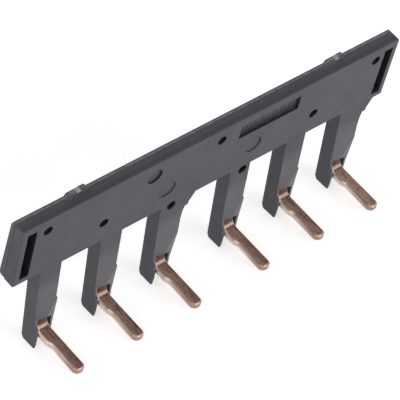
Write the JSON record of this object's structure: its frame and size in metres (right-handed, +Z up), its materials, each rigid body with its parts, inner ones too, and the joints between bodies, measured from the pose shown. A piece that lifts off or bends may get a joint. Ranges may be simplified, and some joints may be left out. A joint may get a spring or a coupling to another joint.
{
  "type": "comb busbar",
  "caption": "Insulated comb busbar: a flat grey plate with hollow legs, from which bent copper pins reach forward into the terminals of circuit breakers.",
  "frame": {"origin": "centre of the bounding box at the level of the surface it stands on", "axes": "+X along the comb, +Y away from the side the pins point to, +Z up with the comb standing on its leg tips and pin tips"},
  "size_m": [0.09, 0.0148, 0.0363],
  "materials": {
    "housing_plastic": "dark grey moulded plastic, lightly textured, satin",
    "cover_plastic": "dark grey moulded plastic, satin",
    "copper": "bare drawn copper, slightly dulled",
    "insulating_sheet": "thin off-white insulating sheet, hidden inside"
  },
  "bodies": {
    "root": {"front_housing": "housing_plastic", "rear_cover": "cover_plastic", "busbar_phase_1": "copper", "busbar_phase_2": "copper", "busbar_phase_3": "copper", "insulating_sheet_front": "insulating_sheet", "insulating_sheet_rear": "insulating_sheet"}
  },
  "joints": []
}
